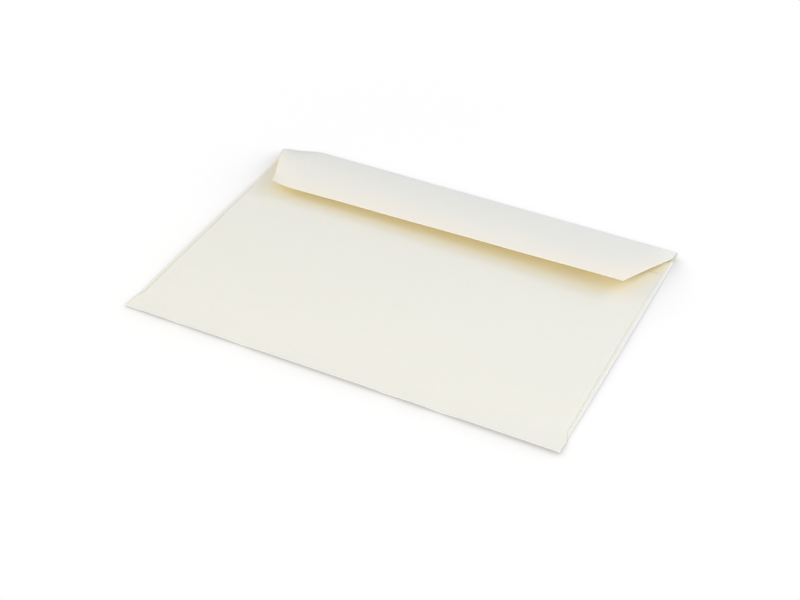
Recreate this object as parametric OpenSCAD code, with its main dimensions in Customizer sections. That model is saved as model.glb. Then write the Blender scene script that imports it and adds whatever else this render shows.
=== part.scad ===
// Wallet envelope of cream paper, lying on its address side with the unsealed flap folded over.
// X runs along the bottom fold, Y from the bottom fold to the flap fold, Z is up.
// The origin is the middle of the underside.

/* [Envelope] */
// Length along the bottom fold
envelope_w = 229; // [150:1:330]
// Distance from the bottom fold to the flap fold
envelope_h = 162; // [110:1:240]
// Thickness of the paper
paper_t = 0.18; // [0.12:0.01:0.25]

/* [Pocket] */
// Clearance round the side flaps, inside the bottom fold
bottom_fold_gap = 0.1; // [0.05:0.05:0.5]
// Outer height of the back panel where it meets the side folds, at the throat
side_fold_h = 2; // [1.7:0.1:2.6]
// Extra height of the back panel's middle at the throat
pocket_crown = 0.7; // [0:0.1:1.2]
// Distance from the flap fold to the throat, the free edge of the back panel
throat_depth = 20; // [14:1:40]
// Distance from each side fold to the cut side of the back panel
back_panel_inset = 2.2; // [1.6:0.1:4]
// Length of the back panel's full-width corners, next to the bottom fold
back_corner_h = 7.5; // [2:0.5:15]
// Length over which its cut sides then run in
back_corner_run = 6; // [4:1:30]

/* [Bottom edge] */
// Height of the bottom edge's left corner above the table
edge_lift_left = 0.5; // [0:0.1:1.5]
// Height of its right corner above the table
edge_lift_right = 1; // [0:0.1:1.5]
// Depth of the strip that curls up along the bottom edge
edge_curl = 16; // [10:1:30]

/* [Side flaps] */
// Width of the side flaps, glued under the back panel
side_flap_w = 21; // [12:1:35]
// Gap from the bottom fold to each side flap's root
side_flap_notch = 1.2; // [1:0.2:8]
// Distance from the flap fold to the other end of each side flap's root
side_flap_stop = 5.5; // [4.5:0.5:12]
// Length that the slanted ends of a side flap take from its root to its inner edge
side_flap_taper = 12; // [4:1:30]
// Thickness of the glue line between side flap and back panel
glue_t = 0.06; // [0.03:0.01:0.1]

/* [Flap] */
// Distance from the flap fold to the flap's free edge, as it lies folded over
flap_depth = 44.5; // [36:0.5:60]
// Length of the flap's square shoulders, next to the fold
flap_shoulder = 9; // [6:0.5:14]
// Length that the slanted ends take off each end of the free edge
flap_slant = 14.3; // [4:0.1:30]
// Radius of the free corners
flap_corner_r = 1.5; // [1:0.5:8]
// Height of the free edge's left corner above the table
flap_lift_left = 7.9; // [5.5:0.1:14]
// Height of the free edge's right corner above the table
flap_lift_right = 10.5; // [5.5:0.1:18]
// Extra height of the free edge's middle
flap_crown = 0.3; // [0:0.1:2]
// Height of the waves along the free edge, from their middle to a crest
flap_wave = 0.4; // [0:0.1:1]
// Length of those waves
flap_wave_run = 115; // [80:5:200]
// Rise of the flap at its free edge, in degrees
flap_tip_angle = 3; // [0:0.5:8]

/* [Flap fold] */
// Radius of the fold's round back, at the middle of the paper
roll_r = 2.05; // [1.2:0.05:2.6]
// Angle at which the flap leaves the fold, in degrees above level
roll_open = 15; // [8:1:25]
// Radius of the fold where its left end is pinched sharp
pinch_r = 0.45; // [0.3:0.05:1]
// Angle at which the flap leaves the pinched end, in degrees above level
pinch_open = 32; // [20:1:40]
// Length of the pinched end
pinch_w = 23; // [10:1:60]
// Distance by which the pinched end runs in from the line of the fold
pinch_inset = 1.8; // [0:0.1:2]

/* [Hidden] */
paper_colour = [0.96, 0.95, 0.92];

// Half-width and half-depth of the folded envelope
half_w = envelope_w / 2;
half_h = envelope_h / 2;

// Outer height of the bottom fold, which holds the ends of the side flaps
bottom_fold_h = 3 * paper_t + glue_t + bottom_fold_gap;
// Reach of the bottom fold beyond the front panel, at the middle of the paper
bottom_fold_a = 0.45;
// Flat strip between the front panel and the start of the flap's roll
roll_lead = 1;

// Edges of the front panel, where the folds begin. The side folds are half rounds,
// thickest at the throat, where they reach the envelope's full width.
panel_x = half_w - (side_fold_h - paper_t - glue_t) / 2;
panel_front = -half_h + bottom_fold_a + paper_t / 2;
panel_back = half_h - roll_r - paper_t / 2 - roll_lead;

// Where the front panel starts to curl up
curl_y = -half_h + edge_curl;

// Edges of the back panel, and its corners at the bottom fold
back_panel_x = half_w - back_panel_inset;
fold_tip_x = half_w - paper_t;
throat_y = half_h - throat_depth;

// Steps round each fold, and across each sheet
fold_steps = 8;
curl_steps = 5;
back_panel_cols = 20;
back_panel_rows = 8;
side_flap_cols = 10;
side_flap_rows = 3;
flap_cols = 44;
flap_rows = 8;
corner_steps = 4;

// Eases from 0 to 1 with level ends
function ease(u) = let(v = max(0, min(1, u))) v * v * (3 - 2 * v);
// Share a step has of a range
function step_of(from, to, i, count) = from + (to - from) * i / count;

// Height of the sheet above the table, where the bottom edge curls up
function edge_lift(x) = step_of(edge_lift_left, edge_lift_right, x + half_w, envelope_w);
function curl(x, y) = edge_lift(x) * pow(max(0, (curl_y - y) / edge_curl), 2);

// Half the back panel's width at its corners and between its cut sides
function back_panel_half_w(y) =
    step_of(fold_tip_x, back_panel_x, ease((y - panel_front - back_corner_h) / back_corner_run), 1);

// Height of the back panel's outer face above the front panel's at a point of the pocket.
// It rises quickly from the bottom fold, and levels off towards the throat.
function pocket_share(y) = 1 - pow(1 - max(0, min(1, (y - panel_front) / (throat_y - panel_front))), 3);
function pocket_bulge(x) = pocket_crown * (1 - pow(min(1, abs(x) / back_panel_x), 2));
function back_panel_top(x, y) =
    bottom_fold_h + pocket_share(y) * (side_fold_h - bottom_fold_h + pocket_bulge(x));
// Height of a side flap's outer face, one sheet and a glue line lower
function side_flap_top(x, y) = back_panel_top(x, y) - paper_t - glue_t;

// Outline of the flap: half its width at distance q from the flap fold.
// A square shoulder, a straight slant, and a round corner.
slant_angle = atan(flap_slant / (flap_depth - flap_shoulder));
corner_tangent = flap_corner_r * tan(45 - slant_angle / 2);
corner_x = half_w - flap_slant - corner_tangent;
corner_q = flap_depth - flap_corner_r;
slant_end_q = corner_q + flap_corner_r * sin(slant_angle);
function slant_half_w(q) = half_w - max(0, q - flap_shoulder) * tan(slant_angle);
function corner_half_w(q) = corner_x + sqrt(max(0, pow(flap_corner_r, 2) - pow(q - corner_q, 2)));
function flap_half_w(q) = q <= slant_end_q ? slant_half_w(q) : corner_half_w(q);

// The fold's radius and opening angle along its length, which change at the pinched left end
function pinch_share(x) = ease((x + half_w) / pinch_w);
function fold_r(x) = pinch_r + (roll_r - pinch_r) * pinch_share(x);
function fold_open(x) = pinch_open + (roll_open - pinch_open) * pinch_share(x);
// Height of the free edge, at the middle of the paper, which rises from corner to corner in waves
free_half_w = half_w - flap_slant;
wave_crest_x = -0.54 * free_half_w;
function wave(x) = flap_wave * cos(360 * (x - wave_crest_x) / flap_wave_run);
function lift(x) =
    step_of(flap_lift_left, flap_lift_right, x + free_half_w, 2 * free_half_w)
    + flap_crown * (1 - pow(x / free_half_w, 2)) + wave(x) - paper_t / 2;

// Centre of the fold's round back, as distance from the flap fold and height
function roll_q(x) = pinch_inset * (1 - pinch_share(x)) + paper_t / 2 + fold_r(x);
function roll_z(x) = paper_t / 2 + fold_r(x);
// Where the flap leaves the round back
function leave_q(x) = roll_q(x) - fold_r(x) * sin(fold_open(x));
function leave_z(x) = roll_z(x) + fold_r(x) * cos(fold_open(x));

// Height and slope of the flap between the fold and its free edge: a cubic that leaves the roll
// at the fold's opening angle and ends at the free edge's height and angle
function run(x) = flap_depth - leave_q(x);
function flap_z(x, q) =
    let(u = (q - leave_q(x)) / run(x))
    (1 + 2 * u) * pow(1 - u, 2) * leave_z(x)
    + u * pow(1 - u, 2) * run(x) * tan(fold_open(x))
    + u * u * (3 - 2 * u) * lift(x)
    - u * u * (1 - u) * run(x) * tan(flap_tip_angle);
function flap_slope(x, q) =
    let(u = (q - leave_q(x)) / run(x))
    6 * u * (1 - u) * (lift(x) - leave_z(x)) / run(x)
    + (1 - u) * (1 - 3 * u) * tan(fold_open(x))
    - u * (2 - 3 * u) * tan(flap_tip_angle);

// A point of a sheet is its place at the middle of the paper and the direction of its outer face.
// Points of the flap: the flat lead, the round back by angle, and the open flap
function flap_lead(x) = [[x, panel_back, paper_t / 2], [0, 0, -1]];
function flap_round(x, share) =
    let(a = step_of(-90, 90 - fold_open(x), share, 1))
    [[x, half_h - roll_q(x) + fold_r(x) * cos(a), roll_z(x) + fold_r(x) * sin(a)], [0, cos(a), sin(a)]];
function flap_open(x, q) =
    let(m = flap_slope(x, q), s = sqrt(1 + m * m))
    [[x, half_h - q, flap_z(x, q)], [0, m / s, 1 / s]];

// Points of the front panel's curled edge, of the bottom fold by angle, and of the back panel
function front_point(x, y) = [[x, y, paper_t / 2 + curl(x, y)], [0, 0, -1]];
function bottom_round(x, a) =
    let(
        b = (bottom_fold_h - paper_t) / 2,
        y = panel_front - bottom_fold_a * cos(a),
        n = [0, -cos(a) / bottom_fold_a, sin(a) / b]
    )
    [[x, y, bottom_fold_h / 2 + b * sin(a) + curl(x, y)], n / norm(n)];
function back_panel_point(x, y) =
    [[x, y, back_panel_top(x, y) - paper_t / 2 + curl(x, y)], [0, 0, 1]];

// Points of a side fold by angle, and of the side flap inside it. The side is -1 for the left, 1 for the right.
function side_round(side, y, a) =
    let(h = side_flap_top(panel_x, y), r = (h - paper_t) / 2, x = side * (panel_x + r * cos(a)))
    [[x, y, h / 2 + r * sin(a) + curl(x, y)], [side * cos(a), 0, sin(a)]];
function side_flap_point(side, x, y) =
    [[side * x, y, side_flap_top(x, y) - paper_t / 2 + curl(side * x, y)], [0, 0, 1]];
// Ends of the side flap at a distance from its fold
function side_flap_front(d) = -half_h + side_flap_notch + side_flap_taper * d / side_flap_w;
function side_flap_back(d) = half_h - side_flap_stop - side_flap_taper * d / side_flap_w;
// Shares of the side flap's length at which its columns lie, closer together where the edge curls
curl_share = (curl_y - side_flap_front(0)) / (side_flap_back(0) - side_flap_front(0));
side_flap_shares = concat(
    [for (i = [0 : curl_steps - 1]) curl_share * i / curl_steps],
    [for (i = [0 : side_flap_cols]) step_of(curl_share, 1, i, side_flap_cols)]
);

// One sheet of paper through a grid of points, as a closed solid
module sheet(grid) {
    rows = len(grid);
    cols = len(grid[0]);
    half = rows * cols;
    outer = [for (row = grid) for (p = row) p[0] + p[1] * paper_t / 2];
    inner = [for (row = grid) for (p = row) p[0] - p[1] * paper_t / 2];
    quads = [
        for (i = [0 : rows - 2]) for (j = [0 : cols - 2])
            [i * cols + j, i * cols + j + 1, (i + 1) * cols + j + 1, (i + 1) * cols + j]
    ];
    rim = concat(
        [for (j = [0 : cols - 1]) j],
        [for (i = [1 : rows - 1]) i * cols + cols - 1],
        [for (j = [cols - 2 : -1 : 0]) (rows - 1) * cols + j],
        [for (i = [rows - 2 : -1 : 1]) i * cols]
    );
    polyhedron(
        points = concat(outer, inner),
        faces = concat(
            [for (q = quads) [q[0], q[1], q[2]]],
            [for (q = quads) [q[0], q[2], q[3]]],
            [for (q = quads) [q[2] + half, q[1] + half, q[0] + half]],
            [for (q = quads) [q[3] + half, q[2] + half, q[0] + half]],
            [for (k = [0 : len(rim) - 1]) let(a = rim[k], b = rim[(k + 1) % len(rim)]) [b, a, a + half]],
            [for (k = [0 : len(rim) - 1]) let(a = rim[k], b = rim[(k + 1) % len(rim)]) [b, a + half, b + half]]
        ),
        convexity = 6
    );
}

// The address side, flat on the table
module front_panel() {
    sheet([for (y = [panel_back, curl_y]) [for (u = [1, -1]) front_point(u * panel_x, y)]]);
}

// The front panel's curled edge, the bottom fold and the back panel up to the throat
module back_panel() {
    us = [for (j = [0 : back_panel_cols]) step_of(1, -1, j, back_panel_cols)];
    back_ys = concat(
        [for (i = [1 : curl_steps]) step_of(panel_front, curl_y, i, curl_steps)],
        [for (i = [1 : back_panel_rows]) step_of(curl_y, throat_y, i, back_panel_rows)]
    );
    sheet(concat(
        [
            for (i = [0 : curl_steps]) let(y = step_of(curl_y, side_flap_front(0), i, curl_steps))
                [for (u = us) front_point(u * panel_x, y)]
        ],
        [
            for (i = [0 : fold_steps])
                [for (u = us) bottom_round(u * fold_tip_x, step_of(-90, 90, i, fold_steps))]
        ],
        [for (y = back_ys) [for (u = us) back_panel_point(u * back_panel_half_w(y), y)]]
    ));
}

// A side fold and its side flap, under the back panel
module side_flap(side) {
    count = len(side_flap_shares);
    shares = [for (j = [0 : count - 1]) side_flap_shares[side > 0 ? count - 1 - j : j]];
    sheet(concat(
        [
            for (i = [0 : fold_steps]) [
                for (s = shares)
                    side_round(
                        side,
                        step_of(side_flap_front(0), side_flap_back(0), s, 1),
                        step_of(-90, 90, i, fold_steps)
                    )
            ]
        ],
        [
            for (i = [1 : side_flap_rows]) let(d = side_flap_w * i / side_flap_rows) [
                for (s = shares)
                    side_flap_point(side, half_w - d, step_of(side_flap_front(d), side_flap_back(d), s, 1))
            ]
        ]
    ));
}

// The flap fold and the flap, raised above the back panel
module flap() {
    us = [for (j = [0 : flap_cols]) step_of(-1, 1, j, flap_cols)];
    open_qs = concat(
        [for (i = [1 : 3]) flap_shoulder * i / 3],
        [for (i = [1 : flap_rows]) step_of(flap_shoulder, slant_end_q, i, flap_rows)],
        [for (i = [1 : corner_steps])
            corner_q + flap_corner_r * sin(step_of(slant_angle, 90, i, corner_steps))]
    );
    sheet(concat(
        [[for (u = us) flap_lead(u * half_w)]],
        [for (i = [0 : fold_steps]) [for (u = us) flap_round(u * half_w, i / fold_steps)]],
        [for (q = open_qs) [for (u = us) flap_open(u * flap_half_w(q), q)]]
    ));
}

module envelope() {
    color(paper_colour) {
        front_panel();
        back_panel();
        side_flap(-1);
        side_flap(1);
        flap();
    }
}

envelope();
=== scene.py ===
import math

import bpy
from mathutils import Matrix, Vector

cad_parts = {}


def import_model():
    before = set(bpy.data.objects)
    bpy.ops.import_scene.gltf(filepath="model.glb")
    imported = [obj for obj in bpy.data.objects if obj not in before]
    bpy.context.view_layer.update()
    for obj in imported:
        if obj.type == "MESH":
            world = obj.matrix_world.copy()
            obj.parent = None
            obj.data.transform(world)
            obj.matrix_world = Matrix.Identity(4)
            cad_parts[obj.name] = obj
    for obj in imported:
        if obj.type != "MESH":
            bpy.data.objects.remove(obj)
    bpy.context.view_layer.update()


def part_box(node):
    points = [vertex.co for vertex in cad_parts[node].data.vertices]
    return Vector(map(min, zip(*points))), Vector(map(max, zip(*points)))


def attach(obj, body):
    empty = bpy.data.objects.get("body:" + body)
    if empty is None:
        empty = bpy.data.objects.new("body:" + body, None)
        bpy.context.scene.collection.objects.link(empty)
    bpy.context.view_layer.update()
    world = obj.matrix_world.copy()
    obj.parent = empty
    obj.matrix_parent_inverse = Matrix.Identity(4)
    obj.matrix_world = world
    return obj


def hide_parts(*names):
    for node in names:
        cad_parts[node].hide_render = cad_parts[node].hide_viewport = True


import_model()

# The envelope is drawn in millimetres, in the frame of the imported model: X along the bottom fold,
# Y from the bottom fold to the flap fold, Z up, with the origin in the middle of the underside.
MM = 0.001
_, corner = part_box("envelope")
HALF_W, HALF_H = (corner / MM).xy
PAPER_T = 0.18

# Pocket
BOTTOM_FOLD_GAP = 0.1
BOTTOM_FOLD_A = 0.45
SIDE_FOLD_H = 2.0
POCKET_CROWN = 0.7
THROAT_DEPTH = 20.0
BACK_PANEL_INSET = 2.2
BACK_CORNER_H = 7.5
BACK_CORNER_RUN = 6.0

# Bottom edge, which curls up from the table
EDGE_LIFT_LEFT = 0.5
EDGE_LIFT_RIGHT = 1.0
EDGE_CURL = 16.0
# Places along it where it dips back towards the table: X, width and depth of each
EDGE_DIPS = ((-110, 6, 0.25), (-83, 5, 0.35), (-49, 7, 0.4), (30, 6, 0.45), (57, 7, 0.6))

# Side flaps
SIDE_FLAP_W = 21.0
SIDE_FLAP_NOTCH = 1.2
SIDE_FLAP_STOP = 5.5
SIDE_FLAP_TAPER = 12.0
GLUE_T = 0.06

# Flap
FLAP_DEPTH = 44.5
FLAP_SHOULDER = 9.0
FLAP_SLANT = 14.3
FLAP_CORNER_R = 1.5
FLAP_LIFT_LEFT = 7.55
FLAP_LIFT_RIGHT = 10.62
FLAP_TIP_ANGLE = math.radians(3)
FLAP_TIP_RIGHT = math.radians(6)
# The free left corner curls up: reach of the curl along the edge and across it, and its height
CORNER_CURL_X = 14.0
CORNER_CURL_Q = 12.0
CORNER_CURL = 2.2

# Flap fold, which is round but for its pinched left end
ROLL_R = 2.05
ROLL_OPEN = math.radians(15)
ROLL_OPEN_RIGHT = math.radians(9)
ROLL_LEAD = 1.0
PINCH_R = 0.45
PINCH_OPEN = math.radians(32)
PINCH_W = 23.0
PINCH_INSET = 1.8

# Unevenness of the back panel: a slow swell and a shorter ripple, each with its height and with its
# length along X and Y for one radian
SWELL = 0.10
SWELL_X = 31.0
SWELL_Y = 37.0
SWELL_START = 0.8
RIPPLE = 0.06
RIPPLE_X = 17.0
RIPPLE_Y = 23.0
# Unevenness of the flap's free edge
FLAP_WAVE = 0.06
FLAP_WAVE_X = 11.5
FLAP_WAVE_START = 0.6

# Grid of the paper's surface: spacing across the panels, steps round each fold
SPACING = 2.4
FOLD_STEPS = 18
CORNER_STEPS = 8
# Width of the band along a cut edge that gets a painted rim tone and a paler, painted glow
CUT_BAND = 0.7
# Decimals, in millimetres, to which two panels' points on a shared fold agree
WELD_DECIMALS = 4

# Edges of the flat front panel, where the folds begin, and of the back panel
BOTTOM_FOLD_H = 3 * PAPER_T + GLUE_T + BOTTOM_FOLD_GAP
PANEL_X = HALF_W - (SIDE_FOLD_H - PAPER_T - GLUE_T) / 2
PANEL_FRONT = -HALF_H + BOTTOM_FOLD_A + PAPER_T / 2
PANEL_BACK = HALF_H - ROLL_R - PAPER_T / 2 - ROLL_LEAD
BACK_PANEL_X = HALF_W - BACK_PANEL_INSET
FOLD_TIP_X = HALF_W - PAPER_T
CURL_Y = -HALF_H + EDGE_CURL
THROAT_Y = HALF_H - THROAT_DEPTH


def mix(a, b, share):
    return a + (b - a) * share


def clamp(v):
    return max(0.0, min(1.0, v))


def ease(v):
    v = clamp(v)
    return v * v * (3 - 2 * v)


def unit(v):
    return v / v.length


def steps(start, end, count):
    return [mix(start, end, i / count) for i in range(count + 1)]


def spread(start, end, spacing):
    return steps(start, end, max(1, math.ceil(abs(end - start) / spacing)))


# Pocket


def curl(x, y):
    """Height of the sheet above the table, where the bottom edge curls up."""
    edge = mix(EDGE_LIFT_LEFT, EDGE_LIFT_RIGHT, (x + HALF_W) / (2 * HALF_W))
    for middle, width, depth in EDGE_DIPS:
        edge -= depth * math.exp(-(((x - middle) / width) ** 2))
    return edge * max(0.0, (CURL_Y - y) / EDGE_CURL) ** 2


def back_panel_half_w(y):
    """Half the back panel's width: full at its corners, less between its cut sides."""
    return mix(FOLD_TIP_X, BACK_PANEL_X, ease((y - PANEL_FRONT - BACK_CORNER_H) / BACK_CORNER_RUN))


def pocket_share(y):
    """Share of its full height that the pocket has at a distance from the bottom fold."""
    return 1 - (1 - clamp((y - PANEL_FRONT) / (THROAT_Y - PANEL_FRONT))) ** 3


def back_panel_top(x, y):
    """Height of the back panel's outer face above the front panel's."""
    bulge = POCKET_CROWN * (1 - min(1.0, abs(x) / BACK_PANEL_X) ** 2)
    return BOTTOM_FOLD_H + pocket_share(y) * (SIDE_FOLD_H - BOTTOM_FOLD_H + bulge)


def side_flap_top(x, y):
    """The same for a side flap, which lies one sheet and a glue line lower."""
    return back_panel_top(x, y) - PAPER_T - GLUE_T


def back_panel_wave(x, y):
    """The slight unevenness of a sheet that has been glued at its sides."""
    inside = (1 - (x / BACK_PANEL_X) ** 2) * pocket_share(y)
    swell = SWELL * math.sin(x / SWELL_X + SWELL_START) * math.cos(y / SWELL_Y)
    return inside * (swell + RIPPLE * math.sin(x / RIPPLE_X - y / RIPPLE_Y))


# Flap

SLANT = math.atan(FLAP_SLANT / (FLAP_DEPTH - FLAP_SHOULDER))
CORNER_X = HALF_W - FLAP_SLANT - FLAP_CORNER_R * math.tan(math.pi / 4 - SLANT / 2)
CORNER_Q = FLAP_DEPTH - FLAP_CORNER_R
SLANT_END_Q = CORNER_Q + FLAP_CORNER_R * math.sin(SLANT)
FREE_HALF_W = HALF_W - FLAP_SLANT


def flap_half_w(q):
    """Half the flap's width at distance q from the flap fold."""
    if q <= SLANT_END_Q:
        return HALF_W - max(0.0, q - FLAP_SHOULDER) * math.tan(SLANT)
    return CORNER_X + math.sqrt(max(0.0, FLAP_CORNER_R**2 - (q - CORNER_Q) ** 2))


def pinch_share(x):
    """0 at the fold's pinched left end, 1 where it is round."""
    return ease((x + HALF_W) / PINCH_W)


def fold_r(x):
    """Radius of the flap fold, at the middle of the paper."""
    return mix(PINCH_R, ROLL_R, pinch_share(x))


def right_share(x):
    """0 at the envelope's left end, 1 at its right end."""
    return ease((x + HALF_W) / (2 * HALF_W))


def fold_open(x):
    """Angle above level at which the flap leaves its fold."""
    return mix(PINCH_OPEN, mix(ROLL_OPEN, ROLL_OPEN_RIGHT, right_share(x)), pinch_share(x))


def tip_angle(x):
    """Angle above level of the flap at its free edge."""
    return mix(FLAP_TIP_ANGLE, FLAP_TIP_RIGHT, right_share(x))


def roll_q(x):
    """Distance from the flap fold to the centre of its round back."""
    return PINCH_INSET * (1 - pinch_share(x)) + PAPER_T / 2 + fold_r(x)


def lift(x):
    """Height of the free edge, at the middle of the paper, before its corner's curl."""
    return mix(FLAP_LIFT_LEFT, FLAP_LIFT_RIGHT, (1 + x / FREE_HALF_W) / 2) - PAPER_T / 2


def leave_q(x):
    """Distance from the flap fold at which the flap leaves the round back."""
    return roll_q(x) - fold_r(x) * math.sin(fold_open(x))


def leave_z(x):
    """Height at which it leaves it."""
    return PAPER_T / 2 + fold_r(x) * (1 + math.cos(fold_open(x)))


def flap_z_slope(x, q):
    """Height and slope of the open flap: a cubic from the fold to the free edge."""
    run = FLAP_DEPTH - leave_q(x)
    u = (q - leave_q(x)) / run
    start, end = math.tan(fold_open(x)), math.tan(tip_angle(x))
    z = (
        (1 + 2 * u) * (1 - u) ** 2 * leave_z(x)
        + u * (1 - u) ** 2 * run * start
        + u * u * (3 - 2 * u) * lift(x)
        - u * u * (1 - u) * run * end
    )
    slope = (
        6 * u * (1 - u) * (lift(x) - leave_z(x)) / run
        + (1 - u) * (1 - 3 * u) * start
        - u * (2 - 3 * u) * end
    )
    return z, slope


def flap_wave(x, q):
    """The free edge isn't quite straight, as paper that has taken up some damp."""
    wave = math.sin(x / FLAP_WAVE_X + FLAP_WAVE_START) - 1
    return FLAP_WAVE * ease(q / FLAP_DEPTH) * wave


def corner_curl(x, q):
    """Extra height of the free left corner."""
    near_end = clamp((CORNER_CURL_X - FREE_HALF_W - x) / CORNER_CURL_X)
    near_edge = clamp((q - FLAP_DEPTH + CORNER_CURL_Q) / CORNER_CURL_Q)
    return CORNER_CURL * (near_end * near_edge) ** 2


# Points of the sheet: each is a place at the middle of the paper, and the direction of its outer
# face. Folds are gone round by an angle a, or by a share of their turn.


def panel_point(x, y):
    return Vector((x, y, PAPER_T / 2 + curl(x, y))), Vector((0, 0, -1))


def bottom_point(x, a):
    b = (BOTTOM_FOLD_H - PAPER_T) / 2
    y = PANEL_FRONT - BOTTOM_FOLD_A * math.cos(a)
    p = Vector((x, y, BOTTOM_FOLD_H / 2 + b * math.sin(a) + curl(x, y)))
    return p, unit(Vector((0, -math.cos(a) / BOTTOM_FOLD_A, math.sin(a) / b)))


def back_panel_point(x, y):
    z = back_panel_top(x, y) - PAPER_T / 2 + curl(x, y) + back_panel_wave(x, y)
    return Vector((x, y, z)), Vector((0, 0, 1))


def side_point(side, y, a):
    h = side_flap_top(PANEL_X, y)
    r = (h - PAPER_T) / 2
    x = side * (PANEL_X + r * math.cos(a))
    p = Vector((x, y, h / 2 + r * math.sin(a) + curl(x, y)))
    return p, Vector((side * math.cos(a), 0, math.sin(a)))


def side_flap_point(side, x, y):
    z = side_flap_top(x, y) - PAPER_T / 2 + curl(side * x, y)
    return Vector((side * x, y, z)), Vector((0, 0, 1))


def side_flap_ends(d):
    """Y of a side flap's two ends, at distance d from its fold."""
    taper = SIDE_FLAP_TAPER * d / SIDE_FLAP_W
    return -HALF_H + SIDE_FLAP_NOTCH + taper, HALF_H - SIDE_FLAP_STOP - taper


def roll_point(x, share):
    a = mix(-math.pi / 2, math.pi / 2 - fold_open(x), share)
    r = fold_r(x)
    p = Vector((x, HALF_H - roll_q(x) + r * math.cos(a), PAPER_T / 2 + r + r * math.sin(a)))
    return p, Vector((0, math.cos(a), math.sin(a)))


def flap_point(x, q):
    z, slope = flap_z_slope(x, q)
    p = Vector((x, HALF_H - q, z + flap_wave(x, q) + corner_curl(x, q)))
    return p, unit(Vector((0, slope, 1)))


class Sheet:
    """The folded blank: points shared by the panels, joined into one surface."""

    def __init__(self):
        self.places = []
        self.normals = []
        self.cut = []
        self.quads = []
        self.index = {}

    def add(self, point, to_cut):
        place, normal = point
        key = tuple(round(c, WELD_DECIMALS) for c in place)
        if key not in self.index:
            self.index[key] = len(self.places)
            self.places.append(place)
            self.normals.append(normal)
            self.cut.append(1 - ease(to_cut / CUT_BAND))
        return self.index[key]

    def grid(self, rows):
        """rows: lists of (point, distance to the nearest cut edge), all of one length."""
        numbers = [[self.add(point, to_cut) for point, to_cut in row] for row in rows]
        for a, b in zip(numbers, numbers[1:]):
            for j in range(len(a) - 1):
                self.quads.append((a[j], a[j + 1], b[j + 1], b[j]))

    def thicken(self):
        """Vertices, faces and cut shares of the sheet with its real thickness."""
        half = PAPER_T / 2
        count = len(self.places)
        outer = [p + n * half for p, n in zip(self.places, self.normals)]
        inner = [p - n * half for p, n in zip(self.places, self.normals)]
        edges = dict.fromkeys(pair for q in self.quads for pair in zip(q, q[1:] + q[:1]))
        rim = [(a, b) for a, b in edges if (b, a) not in edges]
        faces = list(self.quads)
        faces += [tuple(i + count for i in reversed(q)) for q in self.quads]
        faces += [(b, a, a + count, b + count) for a, b in rim]
        return outer + inner, faces, self.cut * 2


HALF_TURN = steps(-math.pi / 2, math.pi / 2, FOLD_STEPS)


def uncut(points):
    """A row of points away from any cut edge."""
    return [(point, CUT_BAND) for point in points]


def columns():
    """Shares of half a panel's width at which its columns lie, with one at each cut band."""
    band = CUT_BAND / BACK_PANEL_X
    right = spread(0, 1 - band, SPACING / BACK_PANEL_X)
    return [-1.0] + [-u for u in reversed(right)] + right[1:] + [1.0]


def front_panel(us, side_ys):
    """Rows of the front panel, seen from below."""
    rows = [uncut(panel_point(u * PANEL_X, y) for u in us) for y in [PANEL_BACK] + side_ys[::-1]]
    return rows + [uncut(panel_point(u * FOLD_TIP_X, PANEL_FRONT) for u in us)]


def back_panel(us):
    """Rows of the bottom fold and of the back panel."""
    rows = []
    for a in HALF_TURN:
        rows.append([(bottom_point(u * FOLD_TIP_X, a), (1 - abs(u)) * FOLD_TIP_X) for u in us])
    for y in spread(PANEL_FRONT, THROAT_Y - CUT_BAND, SPACING)[1:] + [THROAT_Y]:
        half_w = back_panel_half_w(y)
        to_cut = [min(THROAT_Y - y, (1 - abs(u)) * half_w) for u in us]
        rows.append([(back_panel_point(u * half_w, y), d) for u, d in zip(us, to_cut)])
    return rows


def side_flap(side, side_ys):
    """Rows of a side fold and its side flap. The side is -1 for the left, 1 for the right."""
    rows = [uncut(side_point(side, y, a) for y in side_ys) for a in HALF_TURN]
    shares = [(y - side_ys[0]) / (side_ys[-1] - side_ys[0]) for y in side_ys]
    for x in spread(PANEL_X, HALF_W - SIDE_FLAP_W, SPACING)[1:]:
        front, back = side_flap_ends(HALF_W - x)
        rows.append(uncut(side_flap_point(side, x, mix(front, back, s)) for s in shares))
    return [row[::-side] for row in rows]


def flap(us):
    """Rows of the flap fold and of the flap."""
    xs = [-HALF_W] + [u * PANEL_X for u in us] + [HALF_W]
    rows = [uncut(panel_point(x, PANEL_BACK) for x in xs)]
    for share in steps(0, 1, FOLD_STEPS):
        rows.append([(roll_point(x, share), HALF_W - abs(x)) for x in xs])
    qs = spread(leave_q(0), FLAP_SHOULDER, SPACING)[1:]
    qs += spread(FLAP_SHOULDER, SLANT_END_Q, SPACING)[1:]
    for a in steps(SLANT, math.pi / 2, CORNER_STEPS)[1:]:
        qs.append(CORNER_Q + FLAP_CORNER_R * math.sin(a))
    for q in qs:
        half_w = flap_half_w(q)
        in_xs = [x / HALF_W * half_w for x in xs]
        rows.append([(flap_point(x, q), min(FLAP_DEPTH - q, half_w - abs(x))) for x in in_xs])
    return [row[::-1] for row in rows]


def folded_sheet():
    """All panels of the blank, with the points on each fold line shared by its two sides."""
    us = columns()
    side_ys = spread(*side_flap_ends(0), SPACING)
    sheet = Sheet()
    sheet.grid(front_panel(us, side_ys))
    sheet.grid(back_panel(us))
    sheet.grid(side_flap(-1, side_ys))
    sheet.grid(side_flap(1, side_ys))
    sheet.grid(flap(us))
    return sheet


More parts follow.
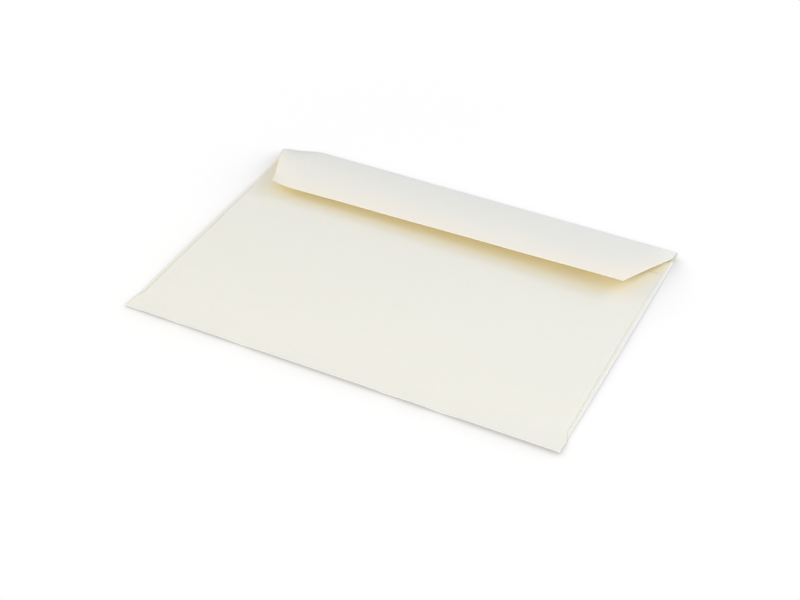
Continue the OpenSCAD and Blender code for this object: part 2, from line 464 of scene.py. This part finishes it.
def paper_envelope():
    vertices, faces, cut = folded_sheet().thicken()
    mesh = bpy.data.meshes.new("paper_envelope")
    mesh.from_pydata([v * MM for v in vertices], [], faces)
    layer = mesh.attributes.new("cut_edge", "FLOAT", "POINT")
    layer.data.foreach_set("value", cut)
    mesh.polygons.foreach_set("use_smooth", [True] * len(mesh.polygons))
    mesh.validate()
    mesh.update()
    envelope = bpy.data.objects.new("paper_envelope", mesh)
    bpy.context.scene.collection.objects.link(envelope)
    return envelope


# Materials


def srgb(r, g, b):
    """An sRGB colour of 0 to 255 as Blender's linear colour."""
    channels = [c / 255 for c in (r, g, b)]
    linear = [c / 12.92 if c <= 0.04045 else ((c + 0.055) / 1.055) ** 2.4 for c in channels]
    return tuple(linear) + (1.0,)


def new_material(name):
    """A new material and its empty node tree."""
    material = bpy.data.materials.new(name)
    material.use_nodes = True
    material.node_tree.nodes.clear()
    return material, material.node_tree


def feed(tree, socket, value):
    """Gives a socket a fixed value, or links it to another node's output."""
    if isinstance(value, (int, float, tuple)):
        socket.default_value = value
    else:
        tree.links.new(value, socket)


def coordinates(tree):
    """A point's place in the object, in metres."""
    return tree.nodes.new("ShaderNodeTexCoord").outputs["Object"]


def noise(tree, coords, scale, detail, stretch=(1, 1, 1)):
    """Noise of about 1/scale metres, stretched along each axis."""
    mapping = tree.nodes.new("ShaderNodeMapping")
    mapping.inputs["Scale"].default_value = [scale / s for s in stretch]
    feed(tree, mapping.inputs["Vector"], coords)
    texture = tree.nodes.new("ShaderNodeTexNoise")
    texture.inputs["Scale"].default_value = 1.0
    texture.inputs["Detail"].default_value = detail
    feed(tree, texture.inputs["Vector"], mapping.outputs["Vector"])
    return texture.outputs["Fac"]


def ranged(tree, value, low_in, high_in, low_out, high_out):
    """Maps a range of values onto another, and no further."""
    node = tree.nodes.new("ShaderNodeMapRange")
    node.inputs["From Min"].default_value = low_in
    node.inputs["From Max"].default_value = high_in
    node.inputs["To Min"].default_value = low_out
    node.inputs["To Max"].default_value = high_out
    feed(tree, node.inputs["Value"], value)
    return node.outputs["Result"]


def maths(tree, operation, a, b=0):
    node = tree.nodes.new("ShaderNodeMath")
    node.operation = operation
    feed(tree, node.inputs[0], a)
    feed(tree, node.inputs[1], b)
    return node.outputs["Value"]


def product(tree, a, b):
    return maths(tree, "MULTIPLY", a, b)


def scaled(tree, colour, factor):
    """A colour made lighter or darker by a factor."""
    node = tree.nodes.new("ShaderNodeVectorMath")
    node.operation = "SCALE"
    feed(tree, node.inputs[0], colour)
    feed(tree, node.inputs["Scale"], factor)
    return node.outputs["Vector"]


def mixed_colour(tree, share, a, b):
    node = tree.nodes.new("ShaderNodeMix")
    node.data_type = "RGBA"
    for name, value in (("Factor", share), ("A", a), ("B", b)):
        feed(tree, next(s for s in node.inputs if s.name == name and s.enabled), value)
    return next(s for s in node.outputs if s.enabled)


def openness(tree, reach, samples):
    """An ambient occlusion node: 1 in the open, less near other surfaces."""
    node = tree.nodes.new("ShaderNodeAmbientOcclusion")
    node.samples = samples
    node.inputs["Distance"].default_value = reach
    return node


def shader(tree, kind, colour):
    node = tree.nodes.new("ShaderNode" + kind)
    feed(tree, node.inputs["Color"], colour)
    return node.outputs[0]


def mixed_shader(tree, share, a, b):
    node = tree.nodes.new("ShaderNodeMixShader")
    feed(tree, node.inputs["Fac"], share)
    feed(tree, node.inputs[1], a)
    feed(tree, node.inputs[2], b)
    return node.outputs["Shader"]


def seen_by_camera(tree, otherwise, to_camera):
    """One shader for the light that bounces about, and another for the camera."""
    path = tree.nodes.new("ShaderNodeLightPath")
    return mixed_shader(tree, path.outputs["Is Camera Ray"], otherwise, to_camera)


def to_output(tree, kind, surface):
    output = tree.nodes.new("ShaderNodeOutput" + kind)
    feed(tree, output.inputs["Surface"], surface)


# Paper: its colour and that of the clouds in its pulp. Each noise is given by scale and detail.
PAPER_COLOUR = srgb(249, 247, 242)
PAPER_CLOUD = srgb(249, 246, 240)
CLOUD_NOISE = (260, 4)
CLOUD_RANGE = (0.35, 0.7)
# Fibres, longer than wide by the stretch, and the factors by which they change the tone
FIBRE_NOISE = (3500, 2)
FIBRE_STRETCH = 6
FIBRE_RANGE = (0.3, 0.7)
FIBRE_TONE = (0.985, 1.015)
# Grain of the surface, its share beside the fibres, and the height of both in metres
GRAIN_NOISE = (1300, 3)
GRAIN_SHARE = 0.6
BUMP_HEIGHT = 0.00006
BUMP_STRENGTH = 0.35
PAPER_ROUGHNESS = 0.82
PAPER_SPECULAR = 0.3
# Painted warm shade where sheets lie close, as under the flap, standing in for light reflected
# between them: its colour, reach and samples, and the openness at which it starts and is full
PAINTED_CLOSE_SHADE = srgb(255, 250, 230)
CLOSE_SHADE_REACH = 0.012
CLOSE_SHADE_SAMPLES = 8
CLOSE_SHADE_OPEN = (0.97, 0.45)
# Painted shade along the sharp bottom fold: its colour, and the Y at which it starts and is full
PAINTED_CREASE_SHADE = srgb(237, 239, 243)
CREASE_SHADE_Y = (-0.0795, -0.0807)
# Painted rim tone along cut edges, a yellower tint standing in for the light on their rims
PAINTED_RIM_TONE = srgb(248, 246, 235)
# Light that comes through the paper: its share, its colour, and a paler colour painted in by place
GLOW_SHARE = 0.3
PAPER_GLOW = srgb(255, 224, 125)
PAINTED_PALE_GLOW = srgb(255, 238, 200)
# The paler colour is painted in at the ends of the flap fold, and in part along cut edges
FOLD_END_X = (0.1, 0.113)
FOLD_END_Y = (0.062, 0.074)
CUT_GLOW_SHARE = 0.55


def paper_fibres(tree, coords):
    """Fibres that lie along both directions of the sheet."""
    along = noise(tree, coords, *FIBRE_NOISE, (FIBRE_STRETCH, 1, 1))
    across = noise(tree, coords, *FIBRE_NOISE, (1, FIBRE_STRETCH, 1))
    return product(tree, maths(tree, "ADD", along, across), 0.5)


def paper_colour(tree, coords, fibres, y, cut):
    """Pulp and fibres, painted shade between sheets and at the bottom fold, painted rims at cuts.
    """
    cloud = ranged(tree, noise(tree, coords, *CLOUD_NOISE), *CLOUD_RANGE, 0, 1)
    colour = mixed_colour(tree, cloud, PAPER_COLOUR, PAPER_CLOUD)
    colour = scaled(tree, colour, ranged(tree, fibres, *FIBRE_RANGE, *FIBRE_TONE))
    closeness = openness(tree, CLOSE_SHADE_REACH, CLOSE_SHADE_SAMPLES)
    closeness.only_local = True
    # Painted warm shade where the paper lies close to other sheets
    close_shade = ranged(tree, closeness.outputs["AO"], *CLOSE_SHADE_OPEN, 0, 1)
    colour = mixed_colour(tree, close_shade, colour, PAINTED_CLOSE_SHADE)
    # Painted shade along the bottom fold
    colour = mixed_colour(tree, ranged(tree, y, *CREASE_SHADE_Y, 0, 1), colour, PAINTED_CREASE_SHADE)
    # Painted rim tone along cut edges
    return mixed_colour(tree, cut, colour, PAINTED_RIM_TONE)


def paper_relief(tree, coords, fibres):
    """Fine relief of grain and fibres."""
    grain = noise(tree, coords, *GRAIN_NOISE)
    bump = tree.nodes.new("ShaderNodeBump")
    bump.inputs["Strength"].default_value = BUMP_STRENGTH
    bump.inputs["Distance"].default_value = BUMP_HEIGHT
    height = maths(tree, "ADD", product(tree, grain, GRAIN_SHARE), fibres)
    feed(tree, bump.inputs["Height"], height)
    return bump.outputs["Normal"]


def paper_glow(tree, x, y, cut):
    """Colour of the warm light that thin paper lets through, painted paler at fold ends and cuts.
    """
    near_end = ranged(tree, maths(tree, "ABSOLUTE", x), *FOLD_END_X, 0, 1)
    near_fold = ranged(tree, y, *FOLD_END_Y, 0, 1)
    at_cut = product(tree, cut, CUT_GLOW_SHARE)
    # A paler colour of the light through the paper, painted in by place
    pale_share = maths(tree, "MAXIMUM", product(tree, near_end, near_fold), at_cut)
    return mixed_colour(tree, pale_share, PAPER_GLOW, PAINTED_PALE_GLOW)


def paper_material():
    material, tree = new_material("cream_paper")
    coords = coordinates(tree)
    place = tree.nodes.new("ShaderNodeSeparateXYZ")
    feed(tree, place.inputs[0], coords)
    edge = tree.nodes.new("ShaderNodeAttribute")
    edge.attribute_name = "cut_edge"
    x, y, cut = place.outputs["X"], place.outputs["Y"], edge.outputs["Fac"]
    fibres = paper_fibres(tree, coords)
    surface = tree.nodes.new("ShaderNodeBsdfPrincipled")
    surface.inputs["Roughness"].default_value = PAPER_ROUGHNESS
    surface.inputs["Specular IOR Level"].default_value = PAPER_SPECULAR
    feed(tree, surface.inputs["Base Color"], paper_colour(tree, coords, fibres, y, cut))
    feed(tree, surface.inputs["Normal"], paper_relief(tree, coords, fibres))
    glow = shader(tree, "BsdfTranslucent", paper_glow(tree, x, y, cut))
    to_output(tree, "Material", mixed_shader(tree, GLOW_SHARE, surface.outputs["BSDF"], glow))
    return material


WHITE = (1.0, 1.0, 1.0, 1.0)
# Floor's colour, which looks white in this light, and the one that the envelope sees
FLOOR_COLOUR = (0.96, 0.87, 0.83)
FLOOR_BOUNCE = (0.85, 0.85, 0.86, 1.0)
# Share of the floor that looks the same in any light, near the envelope, and the distances from
# the envelope's middle between which it rises to all of it
EVEN_SHARE = 0.65
FADE_DISTANCES = (0.14, 0.24)
# Painted shade of the envelope on the floor, found from openness, not cast: its reach and colour
SHADE_REACH = 0.05
SHADE_SAMPLES = 16
SHADE_COLOUR = srgb(60, 50, 60)
# Painted shade falls away from the back light: a lean of the directions it looks for cover in
SHADE_LEAN = (0.1, 0.4, 1.0)
# Openness at which it starts and is full, how it grows between them, and its share where full
SHADE_OPEN = (0.985, 0.3)
SHADE_CURVE = 0.7
SHADE_DEPTH = 0.36


def painted_floor_shade(tree):
    """White, with painted shade where the envelope covers the floor."""
    lean = tree.nodes.new("ShaderNodeVectorMath")
    lean.operation = "NORMALIZE"
    lean.inputs[0].default_value = SHADE_LEAN
    cover = openness(tree, SHADE_REACH, SHADE_SAMPLES)
    feed(tree, cover.inputs["Normal"], lean.outputs["Vector"])
    covered = ranged(tree, cover.outputs["AO"], *SHADE_OPEN, 0, 1)
    depth = product(tree, maths(tree, "POWER", covered, SHADE_CURVE), SHADE_DEPTH)
    return mixed_colour(tree, depth, WHITE, SHADE_COLOUR)


def floor_material():
    """White to the camera away from the object; near it, the lamps' shadow and painted shade."""
    material, tree = new_material("white_floor")
    shade = painted_floor_shade(tree)
    toned = tree.nodes.new("ShaderNodeVectorMath")
    toned.operation = "MULTIPLY"
    toned.inputs[1].default_value = FLOOR_COLOUR
    feed(tree, toned.inputs[0], shade)
    distance = tree.nodes.new("ShaderNodeVectorMath")
    distance.operation = "LENGTH"
    feed(tree, distance.inputs[0], coordinates(tree))
    far = ranged(tree, distance.outputs["Value"], *FADE_DISTANCES, EVEN_SHARE, 1)
    lit = shader(tree, "BsdfDiffuse", toned.outputs["Vector"])
    seen = mixed_shader(tree, far, lit, shader(tree, "Emission", shade))
    plain = shader(tree, "BsdfDiffuse", FLOOR_BOUNCE)
    to_output(tree, "Material", seen_by_camera(tree, plain, seen))
    return material


# Stage, light and camera

FLOOR_HALF = 4.0
FLOOR_GAP = 0.00005


def floor():
    """A large plane just below the envelope."""
    mesh = bpy.data.meshes.new("floor")
    corners = [(-1, -1), (1, -1), (1, 1), (-1, 1)]
    places = [(x * FLOOR_HALF, y * FLOOR_HALF, -FLOOR_GAP) for x, y in corners]
    mesh.from_pydata(places, [], [(0, 1, 2, 3)])
    plane = bpy.data.objects.new("floor", mesh)
    bpy.context.scene.collection.objects.link(plane)
    mesh.materials.append(floor_material())


WORLD_FILL = 0.65
WORLD_COLOUR = (0.895, 1.0, 1.128, 1.0)


def world():
    """Even, slightly cool light from all round, seen by the camera as white."""
    background = bpy.data.worlds.new("studio")
    bpy.context.scene.world = background
    background.use_nodes = True
    tree = background.node_tree
    tree.nodes.clear()
    fill = shader(tree, "Background", WORLD_COLOUR)
    fill.node.inputs["Strength"].default_value = WORLD_FILL
    to_output(tree, "World", seen_by_camera(tree, fill, shader(tree, "Background", WHITE)))


# Soft lamps: name, place in metres, size, watts and colour
LAMPS = (
    ("front", (0.1, -1.12, 0.7), 0.5, 9.9, (0.985, 0.98, 0.67)),
    ("right", (1.12, 0.0, 0.65), 0.8, 3.1, (0.87, 0.915, 1.0)),
    ("left", (-1.1, 0.0, 0.6), 0.8, 2.9, (0.93, 1.0, 0.98)),
    ("back", (0.8, 0.7, 0.6), 0.35, 5.1, (0.45, 0.6, 0.95)),
)


def softbox(name, place, size, power, colour):
    """A square soft lamp that faces the envelope."""
    lamp = bpy.data.lights.new(name, "AREA")
    lamp.shape = "SQUARE"
    lamp.size = size
    lamp.energy = power
    lamp.color = colour
    box = bpy.data.objects.new(name, lamp)
    box.location = place
    box.rotation_euler = (-Vector(place)).to_track_quat("-Z", "Y").to_euler()
    bpy.context.scene.collection.objects.link(box)


# The photograph's viewpoint: azimuth from +Y towards +X, elevation of the downward look
IMAGE_W = 800
FOCAL_PX = 1457.66
SENSOR_MM = 36.0
CAMERA_PLACE = Vector((255.06, -522.82, 446.59)) * MM
CAMERA_AZIMUTH = math.radians(-26.383)
CAMERA_ELEVATION = math.radians(38.246)
CAMERA_ROLL = math.radians(0.426)


def camera():
    lens = bpy.data.cameras.new("camera")
    lens.sensor_width = SENSOR_MM
    lens.lens = FOCAL_PX / IMAGE_W * SENSOR_MM
    eye = bpy.data.objects.new("camera", lens)
    turn = Matrix.Rotation(-CAMERA_AZIMUTH, 4, "Z")
    tilt = Matrix.Rotation(math.pi / 2 - CAMERA_ELEVATION, 4, "X")
    roll = Matrix.Rotation(CAMERA_ROLL, 4, "Z")
    eye.matrix_world = Matrix.Translation(CAMERA_PLACE) @ turn @ tilt @ roll
    bpy.context.scene.collection.objects.link(eye)
    bpy.context.scene.camera = eye


camera()
world()
for lamp in LAMPS:
    softbox(*lamp)
floor()

envelope = paper_envelope()
envelope.data.materials.append(paper_material())
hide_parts("envelope")
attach(envelope, "root")

bpy.context.scene.view_settings.view_transform = "Standard"
